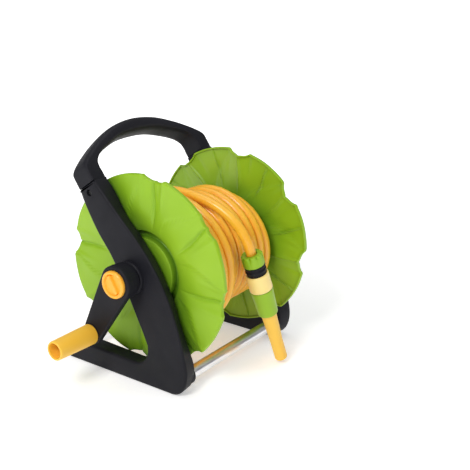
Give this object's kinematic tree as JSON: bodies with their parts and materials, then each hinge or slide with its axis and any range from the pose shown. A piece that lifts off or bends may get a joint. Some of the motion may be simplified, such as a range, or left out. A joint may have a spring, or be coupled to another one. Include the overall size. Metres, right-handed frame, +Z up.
{
  "type": "garden hose reel",
  "caption": "Portable hose reel: black side frames with an arched handle and steel tubes carry a green petal-edged drum, crank, wound orange hose, connector and spray nozzle.",
  "frame": {"origin": "on the floor, under the middle of the reel's bounding box measured without the hose, connector and nozzle", "axes": "+X along the axle, away from the crank; -Y to the front, where the nozzle hangs; +Z up"},
  "size_m": [0.4318, 0.3143, 0.375],
  "materials": {
    "black_plastic": "fine moulded grain, black",
    "green_plastic": "moulded, semi-gloss lime green",
    "chromed_steel": "bright chromed steel",
    "orange_plastic": "moulded, semi-gloss orange",
    "yellow_plastic": "moulded, satin yellow-orange",
    "hose_pvc": "smooth orange PVC hose",
    "seal_rubber": "black sealing ring",
    "bearing_plastic": "natural acetal",
    "dark_steel": "blackened steel screws",
    "amber_plastic": "moulded, pale amber, slightly translucent"
  },
  "bodies": {
    "frame": {"side_frame_right": "black_plastic", "side_frame_left": "black_plastic", "carry_handle": "black_plastic", "parking_peg": "black_plastic", "handle_screw_outer_right": "dark_steel", "handle_screw_outer_left": "dark_steel", "handle_screw_rear_right": "dark_steel", "handle_screw_rear_left": "dark_steel", "front_cross_tube": "chromed_steel", "rear_cross_tube": "chromed_steel", "axle_bush_right": "bearing_plastic", "axle_bush_left": "bearing_plastic", "inlet_spigot": "black_plastic", "inlet_seal": "seal_rubber", "hose_tail": "hose_pvc", "connector_nut": "green_plastic", "connector_body": "black_plastic", "nozzle_body": "green_plastic", "nozzle_stem": "black_plastic"},
    "drum": {"drum_disc_right": "green_plastic", "drum_disc_left": "green_plastic", "drum_core": "black_plastic", "axle_tube": "chromed_steel", "hose_stub": "black_plastic", "hose_winding": "hose_pvc", "crank_arm": "black_plastic", "grip_spindle": "black_plastic", "grip_retainer": "black_plastic"},
    "lock_knob": {"crank_lock_knob": "orange_plastic"},
    "grip": {"crank_grip": "yellow_plastic"},
    "sleeve": {"connector_sleeve": "amber_plastic"},
    "spray_tube": {"nozzle_tube": "yellow_plastic"}
  },
  "joints": [
    {"name": "drum_spin", "type": "hinge", "parent": "frame", "child": "drum", "pos_m": [0.0354, -0.0043, 0.172], "axis": [1, 0, 0], "continuous": true},
    {"name": "lock_turn", "type": "hinge", "parent": "drum", "child": "lock_knob", "pos_m": [-0.1456, -0.0043, 0.172], "axis": [1, 0, 0], "range_deg": [0, 90]},
    {"name": "grip_spin", "type": "hinge", "parent": "drum", "child": "grip", "pos_m": [-0.1746, 0.05002, 0.07866], "axis": [1, 0, 0], "continuous": true},
    {"name": "sleeve_release", "type": "slide", "parent": "frame", "child": "sleeve", "axis": [-0.2659, 0.1227, 0.9562], "range_m": [0, 0.004], "stiffness_N_per_m": 300, "springref_m": -0.002},
    {"name": "spray_twist", "type": "hinge", "parent": "frame", "child": "spray_tube", "pos_m": [0.0814, -0.1503, 0.008], "axis": [0.2659, -0.1227, -0.9562], "range_deg": [0, 270]}
  ]
}
